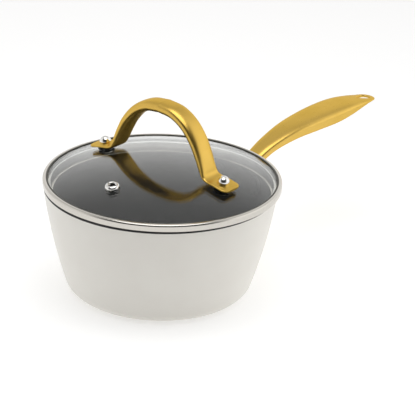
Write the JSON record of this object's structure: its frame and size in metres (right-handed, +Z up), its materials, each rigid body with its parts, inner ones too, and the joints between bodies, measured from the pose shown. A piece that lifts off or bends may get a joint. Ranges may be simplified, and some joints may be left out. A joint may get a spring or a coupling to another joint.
{
  "type": "saucepan with glass lid",
  "caption": "Saucepan with a flared round body, a long bowed handle with a hanging loop, and a lift-off domed glass lid with a steel rim, steam vent and arched handle.",
  "frame": {"origin": "centre of the pan's flat base, on the surface it stands on", "axes": "+Z up through the pan's axis, +X along the long handle, away from the pan"},
  "size_m": [0.3453, 0.1893, 0.1574],
  "materials": {
    "cream_enamel": "satin cream enamel outside, dark nonstick inside",
    "disc_steel": "spun, with fine circular lines",
    "satin_gold": "satin gold coating on steel",
    "coated_rivet": "dark nonstick coating",
    "clear_glass": "clear tempered glass",
    "satin_steel": "satin stainless steel",
    "polished_steel": "polished stainless steel",
    "dark_sealant": "matte",
    "black_rubber": "matte silicone"
  },
  "bodies": {
    "pan": {"pan_body": "cream_enamel", "base_disc": "disc_steel", "handle_bracket": "satin_gold", "long_handle": "satin_gold", "handle_rivet_left": "coated_rivet", "handle_rivet_right": "coated_rivet"},
    "lid": {"glass_lid": "clear_glass", "lid_rim_band": "satin_steel", "rim_seal": "dark_sealant", "lid_handle": "satin_gold", "foot_spacer_front": "black_rubber", "foot_spacer_back": "black_rubber", "glass_gasket_front": "black_rubber", "glass_gasket_back": "black_rubber", "back_washer_front": "satin_steel", "back_washer_back": "satin_steel", "lid_rivet_front": "polished_steel", "lid_rivet_back": "polished_steel", "vent_eyelet": "polished_steel", "vent_gasket": "black_rubber"}
  },
  "joints": [
    {"name": "lid_lift", "type": "slide", "parent": "pan", "child": "lid", "axis": [0, 0, 1], "range_m": [0, 0.12]}
  ]
}
